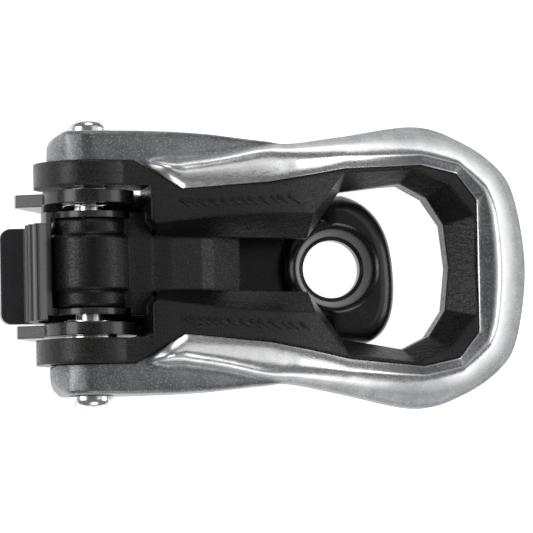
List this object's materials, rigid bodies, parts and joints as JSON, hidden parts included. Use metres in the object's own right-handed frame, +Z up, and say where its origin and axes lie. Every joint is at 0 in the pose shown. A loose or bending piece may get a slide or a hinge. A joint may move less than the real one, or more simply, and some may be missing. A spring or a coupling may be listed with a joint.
{
  "type": "ladder strap ratchet buckle",
  "caption": "Low ratchet buckle for a toothed ladder strap, with an arched looped lever on a rivet, a channel-shaped base, a release tab and a bolt hole in a dished tongue.",
  "frame": {"origin": "axis of the strap bolt hole, at the underside of the base", "axes": "+X from the pivot towards the finger loop, +Y to the side that the tongue leans away from, +Z up"},
  "size_m": [0.0782, 0.0408, 0.0227],
  "materials": {
    "cast_aluminium": "cast and tumbled, polished on the ridges",
    "black_nylon": "moulded glass-filled nylon with a fine grain",
    "black_coat": "black dip coat, gloss",
    "grey_coat": "dark grey coat, satin",
    "dark_steel": "blackened steel",
    "bright_steel": "zinc-plated steel",
    "spring_steel": "bright spring steel"
  },
  "bodies": {
    "base": {"base_frame": "black_coat", "pivot_rivet": "bright_steel", "wave_washer_left": "spring_steel", "wave_washer_right": "spring_steel", "shim_washer_left": "bright_steel", "shim_washer_right": "bright_steel", "lock_pawl_pin": "bright_steel", "lock_pawl_spring": "spring_steel"},
    "lever": {"lever_bail": "cast_aluminium", "lever_insert": "black_nylon", "insert_screws": "bright_steel", "pivot_sleeve": "bright_steel", "drive_pawl_pin": "bright_steel", "drive_pawl_spring": "spring_steel"},
    "release": {"release_tab": "grey_coat"},
    "lock": {"lock_pawl": "dark_steel"},
    "drive": {"drive_pawl": "dark_steel"}
  },
  "joints": [
    {"name": "lever_lift", "type": "hinge", "parent": "base", "child": "lever", "pos_m": [-0.0376, 0, 0.015], "axis": [0, -1, 0], "range_deg": [0, 90]},
    {"name": "drive_pawl_swing", "type": "hinge", "parent": "lever", "child": "drive", "pos_m": [-0.03931, 0, 0.0103], "axis": [0, 1, 0], "range_deg": [0, 99]},
    {"name": "release_pull", "type": "hinge", "parent": "base", "child": "release", "pos_m": [-0.0376, 0, 0.015], "axis": [0, 1, 0], "range_deg": [0, 15], "stiffness_Nm_per_rad": 0.05, "springref_deg": -22.92},
    {"name": "lock_pawl_tilt", "type": "hinge", "parent": "base", "child": "lock", "pos_m": [-0.0225, 0, 0.0088], "axis": [0, -1, 0], "range_deg": [0, 24]}
  ],
  "couplings": [
    {"joint": "drive_pawl_swing", "follows": "lever_lift", "ratio": 1.1},
    {"joint": "lock_pawl_tilt", "follows": "release_pull", "ratio": 1.6}
  ]
}
